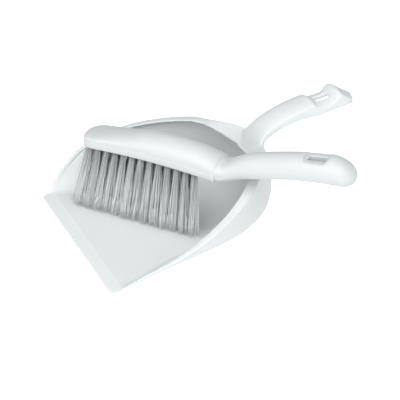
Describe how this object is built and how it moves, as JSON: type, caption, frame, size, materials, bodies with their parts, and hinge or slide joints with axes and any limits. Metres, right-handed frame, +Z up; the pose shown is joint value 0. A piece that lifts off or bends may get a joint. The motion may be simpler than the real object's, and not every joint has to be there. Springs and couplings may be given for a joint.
{
  "type": "dust pan and brush set",
  "caption": "Round-backed dust pan with a raised hollow handle, and a hand brush standing on its bristles in the bowl.",
  "frame": {"origin": "on the ground at the pan's flat underside, on its centre line, 110 mm behind the lip", "axes": "+Y from the lip towards the pan's handle, +Z up, +X to the right of someone who looks from the lip to the handle"},
  "size_m": [0.2883, 0.316, 0.1246],
  "materials": {
    "pan_plastic": "satin white, moulded",
    "strip_rubber": "matte white, soft",
    "brush_plastic": "satin white, moulded",
    "block_plastic": "satin white, moulded",
    "bristle_plastic": "grey filaments with feathered tips"
  },
  "bodies": {
    "dustpan": {"pan_body": "pan_plastic", "front_lip": "strip_rubber"},
    "brush": {"brush_handle": "brush_plastic", "bristle_block": "block_plastic", "tuft_row1_01": "bristle_plastic", "tuft_row1_02": "bristle_plastic", "tuft_row1_03": "bristle_plastic", "tuft_row1_04": "bristle_plastic", "tuft_row1_05": "bristle_plastic", "tuft_row1_06": "bristle_plastic", "tuft_row1_07": "bristle_plastic", "tuft_row1_08": "bristle_plastic", "tuft_row1_09": "bristle_plastic", "tuft_row1_10": "bristle_plastic", "tuft_row1_11": "bristle_plastic", "tuft_row1_12": "bristle_plastic", "tuft_row1_13": "bristle_plastic", "tuft_row2_01": "bristle_plastic", "tuft_row2_02": "bristle_plastic", "tuft_row2_03": "bristle_plastic", "tuft_row2_04": "bristle_plastic", "tuft_row2_05": "bristle_plastic", "tuft_row2_06": "bristle_plastic", "tuft_row2_07": "bristle_plastic", "tuft_row2_08": "bristle_plastic", "tuft_row2_09": "bristle_plastic", "tuft_row2_10": "bristle_plastic", "tuft_row2_11": "bristle_plastic", "tuft_row2_12": "bristle_plastic", "tuft_row2_13": "bristle_plastic", "tuft_row3_01": "bristle_plastic", "tuft_row3_02": "bristle_plastic", "tuft_row3_03": "bristle_plastic", "tuft_row3_04": "bristle_plastic", "tuft_row3_05": "bristle_plastic", "tuft_row3_06": "bristle_plastic", "tuft_row3_07": "bristle_plastic", "tuft_row3_08": "bristle_plastic", "tuft_row3_09": "bristle_plastic", "tuft_row3_10": "bristle_plastic", "tuft_row3_11": "bristle_plastic", "tuft_row3_12": "bristle_plastic", "tuft_row4_01": "bristle_plastic", "tuft_row4_02": "bristle_plastic", "tuft_row4_03": "bristle_plastic", "tuft_row4_04": "bristle_plastic", "tuft_row4_05": "bristle_plastic", "tuft_row4_06": "bristle_plastic", "tuft_row4_07": "bristle_plastic", "tuft_row4_08": "bristle_plastic", "tuft_row4_09": "bristle_plastic", "tuft_row4_10": "bristle_plastic", "tuft_row4_11": "bristle_plastic", "tuft_row4_12": "bristle_plastic"}
  },
  "joints": [
    {"name": "brush_lift", "type": "slide", "parent": "dustpan", "child": "brush", "axis": [0, 0, 1], "range_m": [0, 0.15]}
  ]
}
